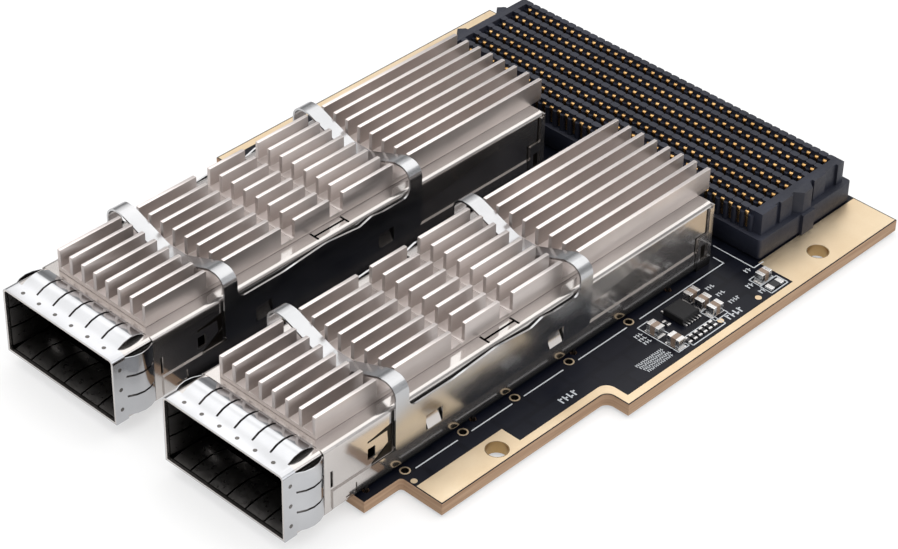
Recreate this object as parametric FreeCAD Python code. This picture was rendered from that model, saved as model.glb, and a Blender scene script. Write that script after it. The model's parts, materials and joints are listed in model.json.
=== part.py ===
import FreeCAD, Part
import math
import os

# FPGA mezzanine card: a small plug-in board that carries two pluggable-module ports
# at the front and one many-contact board-to-board connector at the rear.
# All sizes are in millimetres. +X runs across the card, +Y from the port mouths to
# the rear edge and +Z up from the underside of the board.
# The origin is the centre of the card's footprint, on the underside of the board.

# Board, outward from the right cage and forward from the rear edge
side_strip = 10.65
board_thickness = 1.6
board_length = 83.2
step_setback = 50.5
step_depth = 3.3
shoulder_setback = 77.5
shoulder_depth = 6.2
step_fillet = 1.1
shoulder_fillet = 0.5
mount_hole_diameter = 2.7
rear_hole_inset = 2.85
rear_hole_setback = 12.15
front_hole_inset = 2.0
front_hole_setback = 66.65

# Where the two port cages stand
mouth_overhang = 10.4
cage_pitch = 27.2
cage_pair_offset = 0.45
cage_rear_gap = 4.55

# Cage: a folded shell that stands in a folded pan
sheet = 0.2
cage_body_width = 19.2
cage_height = 9.0
cage_bend_radius = 0.6
cover_gap = 0.1
neck_length = 5.8
neck_transition = 0.4
neck_inset = 0.18
neck_drop = 0.08
pan_bend_radius = 0.8
pan_wall_height = 3.0
pan_wall_front = 6.9
rear_cover_tab_depth = 2.6
rear_cover_tab_height = 4.9
rear_cover_rim_depth = 0.7
rear_window_height = 2.2
rear_window_depth = 1.3

# Shell openings and lanced features
seam_slot_width = 0.4
seam_slot_bottom = 3.5
seam_slot_top = 5.75
latch_front = 12.3
latch_length = 3.6
latch_slot_z = 6.4
latch_slot_rise = 0.5
latch_slot_height = 0.25
latch_window_length = 1.15
latch_window_bottom = 4.0
latch_window_height = 1.5
latch_gap_rise = 1.6
latch_gap_height = 0.45
relief_slot_front = 31.6
relief_slot_length = 5.2
relief_slot_width = 0.3
relief_slot_bar = 1.5
pan_notch_front = 8.8
pan_notch_length = 1.7
pan_notch_bottom = 0.9
pan_notch_height = 1.3
pan_notch_slot = 0.22

# Press-fit tails of the pan and the holes that take them
tail_width = 0.5
tail_length = 1.4
tail_hole_diameter = 0.8
tail_hole_sides = 6
tail_end_margin = 5.0
tail_count = 4

# Plated ring holes beside the cages
ring_hole_diameter = 1.0
ring_hole_sides = 12
ring_hole_gap = 0.65
ring_hole_places = [17.2, 26.4, 34.9, 44.1, 54.6]

# Spring-finger collar round each port mouth
collar_sheet = 0.1
collar_band = 1.8
collar_length = 5.7
top_finger_margin = 1.05
side_finger_margin = 0.26
finger_slit = 0.28
top_finger_count = 6
side_finger_count = 3
finger_rise = 0.6
finger_tip_lift = 0.12
arch_steps = 4

# Riding heat sink
sink_setback_from_mouth = 6.6
sink_side_margin = 2.1
sink_rear_overhang = 1.7
sink_base_thickness = 0.6
pedestal_side_margin = 0.8
pedestal_front_margin = 8.0
pedestal_length = 40.0
pedestal_clearance = 0.4
fin_count = 8
fin_thickness = 0.5
fin_height = 2.4
fin_run_lengths = [9.15, 8.9, 5.65, 8.3]
strap_gap = 2.7
cross_cut = 2.15
score_width = 0.16
score_depth = 0.1
score_lead = 0.4

# Spring clip over each heat sink
clip_sheet = 0.25
clip_wall_gap = 0.05
strap_width = 2.05
strap_shoulder_rise = 3.15
strap_dip_half_width = 1.5
strap_shoulder_width = 2.5
strap_shoulder_radius = 2.2
strap_leg_radius = 1.6
strap_dip_radius = 1.6
rail_lift = 0.1
rail_low_drop = 0.8
rail_high_drop = 0.2
rail_corner = 0.8
rail_inside_corner = 1.2
rail_wave_radius = 6.0
window_length = 2.6
window_height = 2.0
window_bottom = 3.5
window_offset = 5.0
tab_length = 2.1
tab_height = 1.5
tab_reach = 0.6

# Port connector inside each cage
port_side_clearance = 0.5
port_body_length = 11.0
port_body_height = 6.6
port_nose_length = 4.2
port_nose_bottom = 2.3
port_nose_height = 3.6
port_rear_gap = 2.0
card_slot_wall = 0.5
card_slot_height = 1.5
card_slot_depth = 5.0
port_contact_count = 19
port_contact_pitch = 0.8
port_contact_width = 0.35
port_contact_rise = 0.2
port_contact_length = 4.0

# Board-to-board connector
contact_pitch = 1.27
contact_columns = 40
rib_pitch = 2.54
rib_count = 7
rib_thickness = 0.8
rib_top_drop = 0.3
rib_end_margin = 0.8
connector_setback = 0.85
connector_length = 55.5
connector_width = 18.0
connector_standoff = 0.2
connector_foot = 1.6
connector_corner = 0.5
tray_height = 2.95
rib_height = 6.0
channel_depth = 0.9
end_wall_thickness = 1.1
end_step = 0.35
end_groove = 0.5
front_block_length = 2.8
rear_block_length = 1.2
side_block_length = 2.3
key_width = 3.2
key_tab_width = 2.3
key_tab_reach = 0.45
post_offset = 3.8
post_width = 1.7
post_reach = 0.7
peg_diameter = 1.2
peg_length = 1.2
peg_hole_diameter = 1.3
peg_sides = 8
peg_spacing = 53.0
blade_width = 0.45
blade_root_z = 3.3
blade_tip_z = 5.5
blade_bulge = 0.35
blade_bulge_drop = 0.4

# Small parts on the board: the chip from the right and rear edges, the rest from the chip
chip_size = 3.0
chip_height = 0.9
chip_standoff = 0.1
chip_inset = 6.5
chip_setback = 33.65
chip_bevel = 0.12
lead_count = 6
lead_pitch = 0.5
lead_width = 0.22
lead_height = 0.25
lead_reach = 0.5
capacitor_length = 1.8
capacitor_width = 1.15
capacitor_height = 1.25
capacitor_pitch = 1.8
capacitor_rows_gap = 0.85
front_capacitor_gap = 2.6
front_capacitor_pitch = 3.15
filter_capacitor_gap = 7.3
resistor_length = 1.0
resistor_width = 0.5
resistor_height = 0.35
resistor_count = 6
resistor_pitch = 0.9
resistor_gap = 1.35
resistor_shift = 1.05
bypass_gap = 0.9
corner_resistor_length = 2.4
corner_resistor_width = 1.0
corner_resistor_gap = 0.7

# Places worked out from the sizes above
pan_inner_half = cage_body_width / 2
pan_outer_half = pan_inner_half + sheet
right_edge_x = cage_pair_offset + cage_pitch / 2 + pan_outer_half + side_strip
board_width = 2 * right_edge_x
narrow_width = board_width - 2 * step_depth
tongue_width = narrow_width - 2 * shoulder_depth
total_length = board_length + mouth_overhang
rear_edge_y = total_length / 2
mouth_y = -total_length / 2
connector_centre_y = rear_edge_y - connector_setback - connector_width / 2
cage_length = connector_centre_y - connector_width / 2 - cage_rear_gap - mouth_y
cage_centres = {
    "left": cage_pair_offset - cage_pitch / 2,
    "right": cage_pair_offset + cage_pitch / 2,
}
neck_width = cage_body_width - 2 * neck_inset
neck_height = cage_height - neck_drop
sink_width = cage_body_width - 2 * sink_side_margin
sink_front = sink_setback_from_mouth
sink_rear = cage_length + sink_rear_overhang
pedestal_half = sink_width / 2 - pedestal_side_margin
pedestal_front = sink_front + pedestal_front_margin
first_strap_y = sink_front + fin_run_lengths[0] + strap_gap / 2
last_strap_y = sink_front + sum(fin_run_lengths) + 2 * cross_cut + strap_gap * 3 / 2
rail_bottom = pan_wall_height + rail_lift
port_body_half = cage_body_width / 2 - sheet - port_side_clearance
port_front = cage_length - port_rear_gap - port_body_length
port_nose_front = port_front - port_nose_length


def block(x0, x1, y0, y1, z0, z1):
    return Part.makeBox(x1 - x0, y1 - y0, z1 - z0, FreeCAD.Vector(x0, y0, z0))


def cylinder(x, y, z, diameter, height):
    return Part.makeCylinder(diameter / 2, height, FreeCAD.Vector(x, y, z))


def flat_sided_post(x, y, z, radius, sides, height):
    """Upright prism with few flat sides, for what is too small to need a round one."""
    points = []
    for i in range(sides + 1):
        angle = math.pi * (2 * i + 1) / sides
        points.append(FreeCAD.Vector(x + radius * math.cos(angle), y + radius * math.sin(angle), z))
    return Part.Face(Part.makePolygon(points)).extrude(FreeCAD.Vector(0, 0, height))


def flat_sided_hole(x, y, diameter, sides):
    """Cutter for a small hole through the board whose flats stand the diameter apart."""
    return flat_sided_post(x, y, 0, diameter / 2 / math.cos(math.pi / sides), sides, board_thickness)


def rounded_wire(corners, radii):
    """Closed wire through the corners, each rounded by its own radius (0 keeps it sharp)."""
    edges = []
    starts = []
    ends = []
    middles = []
    count = len(corners)
    for i in range(count):
        before = corners[i - 1]
        here = corners[i]
        after = corners[(i + 1) % count]
        if radii[i] <= 0:
            starts.append(here)
            ends.append(here)
            middles.append(None)
            continue
        towards = (before - here).normalize()
        away = (after - here).normalize()
        half_angle = towards.getAngle(away) / 2
        reach = radii[i] / math.tan(half_angle)
        bisector = (towards + away).normalize()
        centre = here + bisector * (radii[i] / math.sin(half_angle))
        starts.append(here + towards * reach)
        ends.append(here + away * reach)
        middles.append(centre - bisector * radii[i])
    for i in range(count):
        if middles[i] is not None:
            edges.append(Part.Arc(starts[i], middles[i], ends[i]).toShape())
        following = starts[(i + 1) % count]
        if ends[i].distanceToPoint(following) > 1e-6:
            edges.append(Part.LineSegment(ends[i], following).toShape())
    return Part.Wire(edges)


def extrude_along_y(points, radii, y0, length):
    """Solid from an outline of (x, z) points, pushed along +Y from y0."""
    wire = rounded_wire([FreeCAD.Vector(x, y0, z) for x, z in points], radii)
    return Part.Face(wire).extrude(FreeCAD.Vector(0, length, 0))


def extrude_along_x(points, radii, x0, length):
    """Solid from an outline of (y, z) points, pushed along +X from x0."""
    wire = rounded_wire([FreeCAD.Vector(x0, y, z) for y, z in points], radii)
    return Part.Face(wire).extrude(FreeCAD.Vector(length, 0, 0))


def extrude_up(points, radii, z0, height):
    """Solid from an outline of (x, y) points, pushed along +Z from z0."""
    wire = rounded_wire([FreeCAD.Vector(x, y, z0) for x, y in points], radii)
    return Part.Face(wire).extrude(FreeCAD.Vector(0, 0, height))


def strip_outline(path, bend_radii, thickness):
    """Outline of a bent strip: the path is its middle line, bend radii are to that line.

    Returns the closed list of points and the rounding radius of each point."""
    half = thickness / 2
    left = []
    right = []
    left_radii = []
    right_radii = []
    last = len(path) - 1
    for i, (px, py) in enumerate(path):
        if i == 0 or i == last:
            j = 0 if i == 0 else last - 1
            dx = path[j + 1][0] - path[j][0]
            dy = path[j + 1][1] - path[j][1]
            size = math.hypot(dx, dy)
            nx = -dy / size
            ny = dx / size
            stretch = 1.0
            turn = 0.0
        else:
            ax = px - path[i - 1][0]
            ay = py - path[i - 1][1]
            bx = path[i + 1][0] - px
            by = path[i + 1][1] - py
            a_size = math.hypot(ax, ay)
            b_size = math.hypot(bx, by)
            nx = -(ay / a_size + by / b_size)
            ny = ax / a_size + bx / b_size
            size = math.hypot(nx, ny)
            nx = nx / size
            ny = ny / size
            turn = ax * by - ay * bx
            stretch = 2.0 / size
        radius = bend_radii[i]
        left.append((px + nx * half * stretch, py + ny * half * stretch))
        right.append((px - nx * half * stretch, py - ny * half * stretch))
        left_radii.append(max(radius - half, 0.0) if turn > 0 else radius + half if radius else 0.0)
        right_radii.append(radius + half if turn > 0 and radius else max(radius - half, 0.0))
    return left + right[::-1], left_radii + right_radii[::-1]


def mirrored_pair(solid):
    """The solid and its mirror image across the plane x = 0."""
    return [solid, solid.mirror(FreeCAD.Vector(0, 0, 0), FreeCAD.Vector(1, 0, 0))]


def seat_on_board(solid, side):
    """Move a piece from its cage's own frame to its place on the card.

    In the cage's frame x = 0 is its middle, y = 0 the mouth and z = 0 the board's top."""
    placed = solid.copy()
    placed.translate(FreeCAD.Vector(cage_centres[side], mouth_y, board_thickness))
    return placed


def tail_positions():
    """Centres of the pan's press-fit tails along the cage."""
    first = pan_wall_front + tail_end_margin
    last = cage_length - rear_cover_tab_depth - tail_end_margin
    return [first + (last - first) * i / (tail_count - 1) for i in range(tail_count)]


def board_outline():
    """Points of the board's edge, from the rear right corner round to the rear left."""
    step_y = rear_edge_y - step_setback
    shoulder_y = rear_edge_y - shoulder_setback
    tongue_y = rear_edge_y - board_length
    right = [
        (board_width / 2, rear_edge_y, 0),
        (board_width / 2, step_y, 0),
        (narrow_width / 2, step_y, step_fillet),
        (narrow_width / 2, shoulder_y, 0),
        (tongue_width / 2, shoulder_y, shoulder_fillet),
        (tongue_width / 2, tongue_y, 0),
    ]
    left = [(-x, y, r) for x, y, r in reversed(right)]
    return right + left


def circuit_board():
    outline = board_outline()
    board = extrude_up([(x, y) for x, y, r in outline], [r for x, y, r in outline], 0, board_thickness)
    holes = []
    rear_hole_x = board_width / 2 - rear_hole_inset
    front_hole_x = narrow_width / 2 - front_hole_inset
    for hole_x, setback in [(rear_hole_x, rear_hole_setback), (front_hole_x, front_hole_setback)]:
        for x in (-hole_x, hole_x):
            holes.append(cylinder(x, rear_edge_y - setback, 0, mount_hole_diameter, board_thickness))
    for x in (-peg_spacing / 2, peg_spacing / 2):
        holes.append(flat_sided_hole(x, connector_centre_y, peg_hole_diameter, peg_sides))
    ring_x = pan_outer_half + ring_hole_gap
    for centre in cage_centres.values():
        for x in (centre - pan_outer_half + sheet / 2, centre + pan_outer_half - sheet / 2):
            for y in tail_positions():
                holes.append(flat_sided_hole(x, mouth_y + y, tail_hole_diameter, tail_hole_sides))
        for y in ring_hole_places:
            holes.append(flat_sided_hole(centre + ring_x, mouth_y + y, ring_hole_diameter, ring_hole_sides))
    return board.cut(holes)


def shell_section(half_width, height, bend):
    """Solid outline of the shell's outside at one place, as (x, z) points and radii."""
    points = [(-half_width, sheet), (half_width, sheet), (half_width, height), (-half_width, height)]
    return points, [0, 0, bend, bend]


def shell_tube(half_width, height, bend, y0, length):
    """Folded top and two sides, open below."""
    points, radii = shell_section(half_width, height, bend)
    outside = extrude_along_y(points, radii, y0, length)
    points, radii = shell_section(half_width - sheet, height - sheet, bend - sheet)
    inside = extrude_along_y(points, radii, y0, length)
    return outside.cut(inside)


def cage_shell():
    """Top and sides of the cage in one folded sheet, with a narrower neck at the mouth."""
    body_half = cage_body_width / 2
    neck_half = neck_width / 2
    body_front = neck_length + neck_transition
    neck = shell_tube(neck_half, neck_height, cage_bend_radius, 0, neck_length)
    body = shell_tube(body_half, cage_height, cage_bend_radius, body_front, cage_length - body_front - sheet)
    points, radii = shell_section(body_half, cage_height, cage_bend_radius)
    step_outside = extrude_along_y(points, radii, neck_length, neck_transition)
    points, radii = shell_section(neck_half - sheet, neck_height - sheet, cage_bend_radius - sheet)
    step_inside = extrude_along_y(points, radii, neck_length, neck_transition)
    shell = neck.fuse([body, step_outside.cut(step_inside)]).removeSplitter()
    foot = block(body_half - sheet, body_half, pan_wall_front, cage_length, 0, pan_bend_radius)
    return shell.cut(shell_cuts() + mirrored_pair(foot)).fuse(shell_tabs()).removeSplitter()


def shell_cuts():
    """Openings through the shell: heat-sink window, relief slots and side slots."""
    window_half = pedestal_half + pedestal_clearance
    window_front = pedestal_front - pedestal_clearance
    window_rear = pedestal_front + pedestal_length + pedestal_clearance
    roof = cage_height - 2 * sheet
    cuts = [block(-window_half, window_half, window_front, window_rear, roof, cage_height + sheet)]
    outer = cage_body_width / 2 + sheet
    inner = cage_body_width / 2 - 2 * sheet
    slot_middle = (sink_width / 2 + cage_body_width / 2 - cage_bend_radius / 2) / 2
    slot_rear = relief_slot_front + relief_slot_length
    bar_half = relief_slot_bar / 2
    run_half = relief_slot_width / 2
    roof_top = cage_height + sheet
    side_cuts = [
        block(slot_middle - run_half, slot_middle + run_half, relief_slot_front, slot_rear, roof, roof_top),
        block(inner, outer, pan_wall_front - seam_slot_width / 2, pan_wall_front + seam_slot_width / 2,
              seam_slot_bottom, seam_slot_top),
        block(inner, outer, latch_front, latch_front + latch_window_length,
              latch_window_bottom, latch_window_bottom + latch_window_height),
    ]
    for y in (relief_slot_front, slot_rear - relief_slot_width):
        side_cuts.append(block(slot_middle - bar_half, slot_middle + bar_half, y, y + relief_slot_width,
                               roof, roof_top))
    # The latch leaf is freed by a thin sloping slot above it and a wedge-shaped gap below it.
    latch_rear = latch_front + latch_length
    slot = [
        (latch_front, latch_slot_z),
        (latch_rear, latch_slot_z + latch_slot_rise),
        (latch_rear, latch_slot_z + latch_slot_rise + latch_slot_height),
        (latch_front, latch_slot_z + latch_slot_height / 2),
    ]
    gap = [
        (latch_front + latch_window_length / 2, pan_wall_height),
        (latch_rear, pan_wall_height + latch_gap_rise),
        (latch_rear, pan_wall_height + latch_gap_rise + latch_gap_height),
        (latch_front + latch_window_length / 2, pan_wall_height + latch_gap_height / 2),
    ]
    for outline in (slot, gap):
        side_cuts.append(extrude_along_x(outline, [0] * len(outline), inner, outer - inner))
    for cut in side_cuts:
        cuts.extend(mirrored_pair(cut))
    return cuts


def window_centres():
    """Middles of the clip's windows, one inward of each strap."""
    return [first_strap_y + window_offset, last_strap_y - window_offset]


def shell_tabs():
    """Lanced tabs on the shell's sides that hold the clip's windows down."""
    tabs = []
    wall = cage_body_width / 2
    for y in window_centres():
        top = window_bottom + tab_height
        ramp = [(wall - sheet / 2, top), (wall + tab_reach, window_bottom),
                (wall + tab_reach - sheet, window_bottom), (wall - sheet / 2, top - sheet)]
        tab = extrude_along_y(ramp, [0] * len(ramp), y - tab_length / 2, tab_length)
        tabs.extend(mirrored_pair(tab))
    return tabs


def pan_section(inset, radius, y0, length):
    """Solid of the pan's outline drawn in by an inset, with round lower bends."""
    half = pan_outer_half - inset
    points = [(-half, inset), (half, inset), (half, pan_wall_height), (-half, pan_wall_height)]
    return extrude_along_y(points, [radius, radius, 0, 0], y0, length)


def cage_pan():
    """Floor of the cage folded up outside the shell, with press-fit tails below."""
    neck_half = neck_width / 2
    rear = cage_length - rear_cover_tab_depth
    length = rear - pan_wall_front
    tray = pan_section(0, pan_bend_radius, pan_wall_front, length)
    tray = tray.cut(pan_section(sheet, pan_bend_radius - sheet, pan_wall_front, length))
    pieces = [tray]
    for y in tail_positions():
        tail = block(pan_inner_half, pan_outer_half, y - tail_width / 2, y + tail_width / 2,
                     -tail_length, pan_bend_radius)
        pieces.extend(mirrored_pair(tail))
    pan = block(-neck_half, neck_half, 0, pan_wall_front, 0, sheet).fuse(pieces).removeSplitter()
    connector_front = port_front - pedestal_clearance
    half_cutout = pan_outer_half - 2 * pan_bend_radius
    cuts = [block(-half_cutout, half_cutout, connector_front, rear, 0, sheet)]
    # The notch is an L-shaped slot that frees a small tongue of the wall.
    low = pan_notch_bottom
    rear = pan_notch_front + pan_notch_length
    upright = block(pan_inner_half, pan_outer_half, rear - pan_notch_slot, rear, low, low + pan_notch_height)
    level = block(pan_inner_half, pan_outer_half, pan_notch_front, rear, low, low + pan_notch_slot)
    return pan.cut(cuts + mirrored_pair(upright) + mirrored_pair(level))


def cage_rear_cover():
    """Plate that closes the rear of the cage, with side tabs lapped outside the shell."""
    plate_half = pan_outer_half
    cover = block(-plate_half, plate_half, cage_length - sheet, cage_length, sheet, cage_height - sheet)
    tab_front = cage_length - rear_cover_tab_depth + cover_gap
    tab = [
        (cage_length, 0),
        (cage_length, cage_height - cage_bend_radius),
        (cage_length - rear_cover_rim_depth, cage_height - cage_bend_radius),
        (cage_length - rear_cover_rim_depth, rear_cover_tab_height),
        (tab_front, rear_cover_tab_height),
        (tab_front, 0),
    ]
    rounding = [0, 0, 0, 0, sheet, 0]
    side = extrude_along_x(tab, rounding, pan_inner_half, sheet)
    window_bottom_z = (rear_cover_tab_height - rear_window_height) / 2
    window_front = cage_length - rear_cover_tab_depth / 2 - rear_window_depth / 2
    window = block(pan_inner_half, pan_outer_half, window_front, window_front + rear_window_depth,
                   window_bottom_z, window_bottom_z + rear_window_height)
    return cover.fuse(mirrored_pair(side.cut(window))).removeSplitter()


def arched_finger(width):
    """One spring finger in its own frame: rooted at y = 0, z = 0, arched upwards along +Y."""
    reach = collar_length - collar_band
    arch = []
    for i in range(arch_steps + 1):
        along = i / arch_steps
        lift = 4 * finger_rise * along * (1 - along) + finger_tip_lift * along
        arch.append((reach * along, lift))
    outline = arch + [(y, z + collar_sheet) for y, z in reversed(arch)]
    return extrude_along_x(outline, [0] * len(outline), 0, width)


def finger_row(count, span, across, surface, turn):
    """A row of fingers on one side of the collar.

    span is the row's length, across its middle, surface the face it springs from and turn
    the quarter turns about +Y from the top."""
    pitch = span / count
    width = pitch - finger_slit
    fingers = []
    for i in range(count):
        start = across + (i - count / 2) * pitch + finger_slit / 2
        finger = arched_finger(width)
        finger.translate(FreeCAD.Vector(start, collar_band, surface))
        finger.rotate(FreeCAD.Vector(0, 0, 0), FreeCAD.Vector(0, 1, 0), turn * 90)
        fingers.append(finger)
    return fingers


def emi_collar():
    """Band of spring fingers that wraps the cage mouth on all four sides."""
    inner_half = neck_width / 2
    half = inner_half + collar_sheet
    high = neck_height + collar_sheet
    outer = [(-half, -collar_sheet), (half, -collar_sheet), (half, high), (-half, high)]
    inner = [(-inner_half, 0), (inner_half, 0), (inner_half, neck_height), (-inner_half, neck_height)]
    top_corner = cage_bend_radius + collar_sheet
    band = extrude_along_y(outer, [0, 0, top_corner, top_corner], 0, collar_band)
    band = band.cut(extrude_along_y(inner, [0, 0, cage_bend_radius, cage_bend_radius], 0, collar_band))
    middle_z = neck_height / 2
    top_span = neck_width - 2 * top_finger_margin
    side_span = neck_height - 2 * side_finger_margin
    fingers = finger_row(top_finger_count, top_span, 0, neck_height, 0)
    fingers += finger_row(side_finger_count, side_span, -middle_z, neck_width / 2, 1)
    fingers += finger_row(top_finger_count, top_span, 0, 0, 2)
    fingers += finger_row(side_finger_count, side_span, middle_z, neck_width / 2, 3)
    return band.fuse(fingers).removeSplitter()


def fin_comb_profile():
    """Outline of the heat sink's extrusion: a thin base with upright fins."""
    base_top = cage_height + sink_base_thickness
    fin_top = base_top + fin_height
    pitch = (sink_width - fin_thickness) / (fin_count - 1)
    points = [(sink_width / 2, cage_height), (sink_width / 2, fin_top)]
    for i in range(fin_count - 1, -1, -1):
        left = -sink_width / 2 + i * pitch
        points.append((left, fin_top))
        if i > 0:
            points.append((left, base_top))
            points.append((left - pitch + fin_thickness, base_top))
            points.append((left - pitch + fin_thickness, fin_top))
    points.append((-sink_width / 2, cage_height))
    return points


def cross_gaps():
    """Start and length of each milled gap across the fins, from the heat sink's front."""
    gaps = []
    lengths = [strap_gap, cross_cut, cross_cut, strap_gap]
    y = sink_front
    for run, gap in zip(fin_run_lengths, lengths):
        y = y + run
        gaps.append((y, gap))
        y = y + gap
    return gaps


def heat_sink():
    """Extruded fins milled across, on a pedestal that comes down level with the mouth's roof."""
    profile = fin_comb_profile()
    sink = extrude_along_y(profile, [0] * len(profile), sink_front, sink_rear - sink_front)
    base_top = cage_height + sink_base_thickness
    half = sink_width / 2
    cuts = [block(-half, half, y, y + gap, base_top, base_top + fin_height) for y, gap in cross_gaps()]
    for y, gap in cross_gaps()[1:3]:
        line = y + gap - score_lead
        cuts.append(block(-half, half, line - score_width, line, base_top - score_depth, base_top))
    pedestal = block(-pedestal_half, pedestal_half, pedestal_front,
                     pedestal_front + pedestal_length, neck_height - sheet, cage_height)
    return sink.cut(cuts).fuse(pedestal).removeSplitter()


def leg_top():
    """Height where the strap's outer bend ends and its leg runs on as part of the rail."""
    return cage_height + strap_shoulder_rise - clip_sheet / 2 - strap_leg_radius


def strap_path():
    """Middle line of one strap from the left leg over both shoulders to the right leg."""
    leg_x = pan_outer_half + clip_wall_gap + clip_sheet / 2
    dip_z = cage_height + sink_base_thickness + clip_sheet / 2
    shoulder_z = cage_height + strap_shoulder_rise - clip_sheet / 2
    right = [
        (strap_dip_half_width, dip_z, strap_dip_radius),
        (leg_x - strap_shoulder_width, shoulder_z, strap_shoulder_radius),
        (leg_x, shoulder_z, strap_leg_radius),
        (leg_x, leg_top(), 0),
    ]
    left = [(-x, z, r) for x, z, r in reversed(right)]
    return left + right


def clip_strap(middle_y):
    path = strap_path()
    points, radii = strip_outline([(x, z) for x, z, r in path], [r for x, z, r in path], clip_sheet)
    return extrude_along_y(points, radii, middle_y - strap_width / 2, strap_width)


def clip_rail():
    """Side rail of the clip with a wavy spring edge and two windows, on the right side."""
    inner = pan_outer_half + clip_wall_gap
    front = first_strap_y - strap_width / 2
    rear = last_strap_y + strap_width / 2
    inside_front = front + strap_width
    inside_rear = rear - strap_width
    span = inside_rear - inside_front
    rail_low = cage_height - rail_low_drop
    rail_high = cage_height - rail_high_drop
    middle_z = (rail_low + rail_high) / 2
    corners = [
        (front, rail_bottom, rail_corner),
        (rear, rail_bottom, rail_corner),
        (rear, leg_top(), 0),
        (inside_rear, leg_top(), 0),
        (inside_rear, middle_z, rail_inside_corner),
        (inside_front + span * 0.84, middle_z, rail_inside_corner),
        (inside_front + span * 0.77, rail_high, rail_inside_corner),
        (inside_front + span * 0.7, rail_low, rail_inside_corner),
        (inside_front + span * 0.5, rail_high, rail_wave_radius),
        (inside_front + span * 0.25, rail_low, rail_wave_radius),
        (inside_front, rail_low, rail_inside_corner),
        (inside_front, leg_top(), 0),
        (front, leg_top(), 0),
    ]
    plate = extrude_along_x([(y, z) for y, z, r in corners], [r for y, z, r in corners], inner, clip_sheet)
    windows = []
    for y in window_centres():
        windows.append(block(inner, inner + clip_sheet, y - window_length / 2, y + window_length / 2,
                             window_bottom, window_bottom + window_height))
    return plate.cut(windows)


def heat_sink_clip():
    """Two M-shaped straps joined by side rails, folded from one spring sheet."""
    straps = [clip_strap(first_strap_y), clip_strap(last_strap_y)]
    return straps[0].fuse(straps[1:] + mirrored_pair(clip_rail())).removeSplitter()


def port_connector():
    """Moulded connector at the back of the cage, with a card slot facing the mouth."""
    half = port_body_half
    nose_top = port_nose_bottom + port_nose_height
    foot_half = pan_outer_half - 2 * pan_bend_radius - pedestal_clearance
    foot = block(-foot_half, foot_half, port_front, port_front + port_body_length, 0, pan_bend_radius)
    body = block(-half, half, port_front, port_front + port_body_length, pan_bend_radius, port_body_height)
    nose = block(-half, half, port_nose_front, port_front, port_nose_bottom, nose_top)
    housing = body.fuse([foot, nose]).removeSplitter()
    slot_middle = port_nose_bottom + port_nose_height / 2
    slot_half = half - card_slot_wall
    slot = block(-slot_half, slot_half, port_nose_front, port_nose_front + card_slot_depth,
                 slot_middle - card_slot_height / 2, slot_middle + card_slot_height / 2)
    return housing.cut(slot)


def port_contacts():
    """Two rows of contacts, proud of the upper and lower face of the card slot."""
    slot_rear = port_nose_front + card_slot_depth
    slot_middle = port_nose_bottom + port_nose_height / 2
    contacts = []
    for i in range(port_contact_count):
        x = (i - (port_contact_count - 1) / 2) * port_contact_pitch - port_contact_width / 2
        for side in (-1, 1):
            root_z = slot_middle + side * card_slot_height / 2
            tip_z = root_z - side * port_contact_rise
            start = slot_rear - port_contact_length
            middle = start + port_contact_length / 3
            profile = [(start, root_z), (middle, tip_z), (slot_rear, root_z)]
            contacts.append(extrude_along_x(profile, [0] * len(profile), x, port_contact_width))
    return Part.Compound(contacts)


def rib_middles():
    """Y of each rib's middle, from the connector's middle."""
    return [(i - (rib_count - 1) / 2) * rib_pitch for i in range(rib_count)]


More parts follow.
